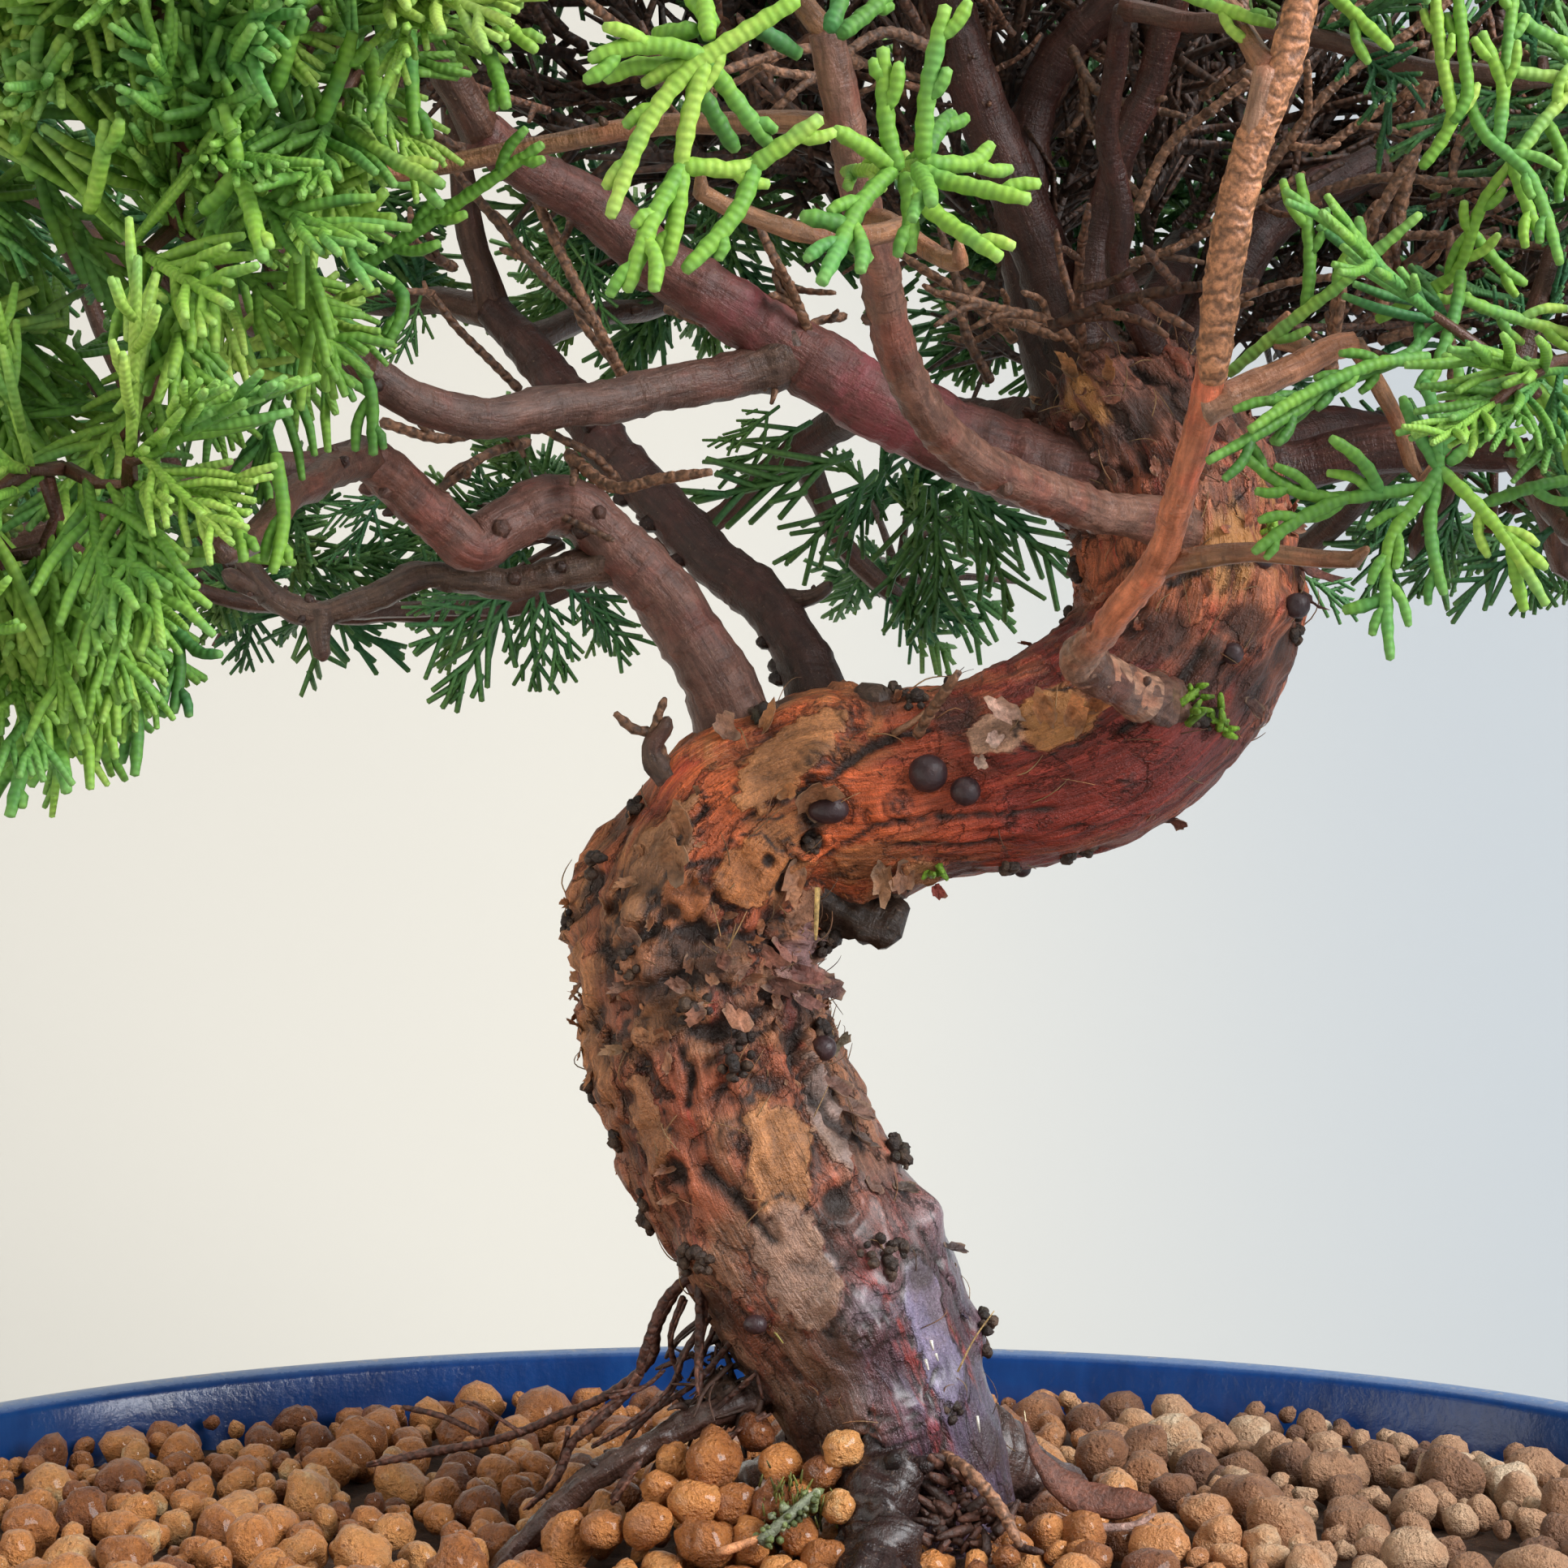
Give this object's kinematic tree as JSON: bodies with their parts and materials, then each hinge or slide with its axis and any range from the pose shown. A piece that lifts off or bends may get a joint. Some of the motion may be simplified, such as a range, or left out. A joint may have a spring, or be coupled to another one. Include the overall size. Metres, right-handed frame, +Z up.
{
  "type": "kishu juniper bonsai in an oval pot",
  "caption": "Small kishu chinese juniper bonsai with an S-curved trunk and leafy pads, planted in baked-clay granules in an oval blue glazed pot.",
  "frame": {"origin": "centre of the standing bonsai's box on the table, under the middle of the pot", "axes": "+Z up, +X to the right along the oval pot's length as the tree's front is seen, the front looks along -Y"},
  "size_m": [0.228, 0.21, 0.2572],
  "materials": {
    "bark": "fibrous, flaking red-brown bark",
    "scale_leaves": "soft satin green",
    "blue_glaze": "glossy cobalt glaze",
    "clay_granules": "matt baked clay",
    "screen_plastic": "matt black"
  },
  "bodies": {
    "root": {"pot": "blue_glaze", "drainage_screen_left": "screen_plastic", "drainage_screen_right": "screen_plastic", "soil": "clay_granules", "wood": "bark", "foliage_01": "scale_leaves", "foliage_02": "scale_leaves", "foliage_03": "scale_leaves", "foliage_04": "scale_leaves", "foliage_05": "scale_leaves", "foliage_06": "scale_leaves", "foliage_07": "scale_leaves", "foliage_08": "scale_leaves", "foliage_09": "scale_leaves", "foliage_10": "scale_leaves", "foliage_11": "scale_leaves", "foliage_12": "scale_leaves", "foliage_13": "scale_leaves", "foliage_14": "scale_leaves", "foliage_15": "scale_leaves", "foliage_16": "scale_leaves", "foliage_17": "scale_leaves", "foliage_18": "scale_leaves", "foliage_19": "scale_leaves", "foliage_20": "scale_leaves", "foliage_21": "scale_leaves", "foliage_22": "scale_leaves", "foliage_23": "scale_leaves", "foliage_24": "scale_leaves", "foliage_25": "scale_leaves", "foliage_26": "scale_leaves", "foliage_27": "scale_leaves", "foliage_28": "scale_leaves", "foliage_29": "scale_leaves", "foliage_30": "scale_leaves", "foliage_31": "scale_leaves", "foliage_32": "scale_leaves", "foliage_33": "scale_leaves", "foliage_34": "scale_leaves", "foliage_35": "scale_leaves", "foliage_36": "scale_leaves", "foliage_37": "scale_leaves", "foliage_38": "scale_leaves", "foliage_39": "scale_leaves"}
  },
  "joints": []
}
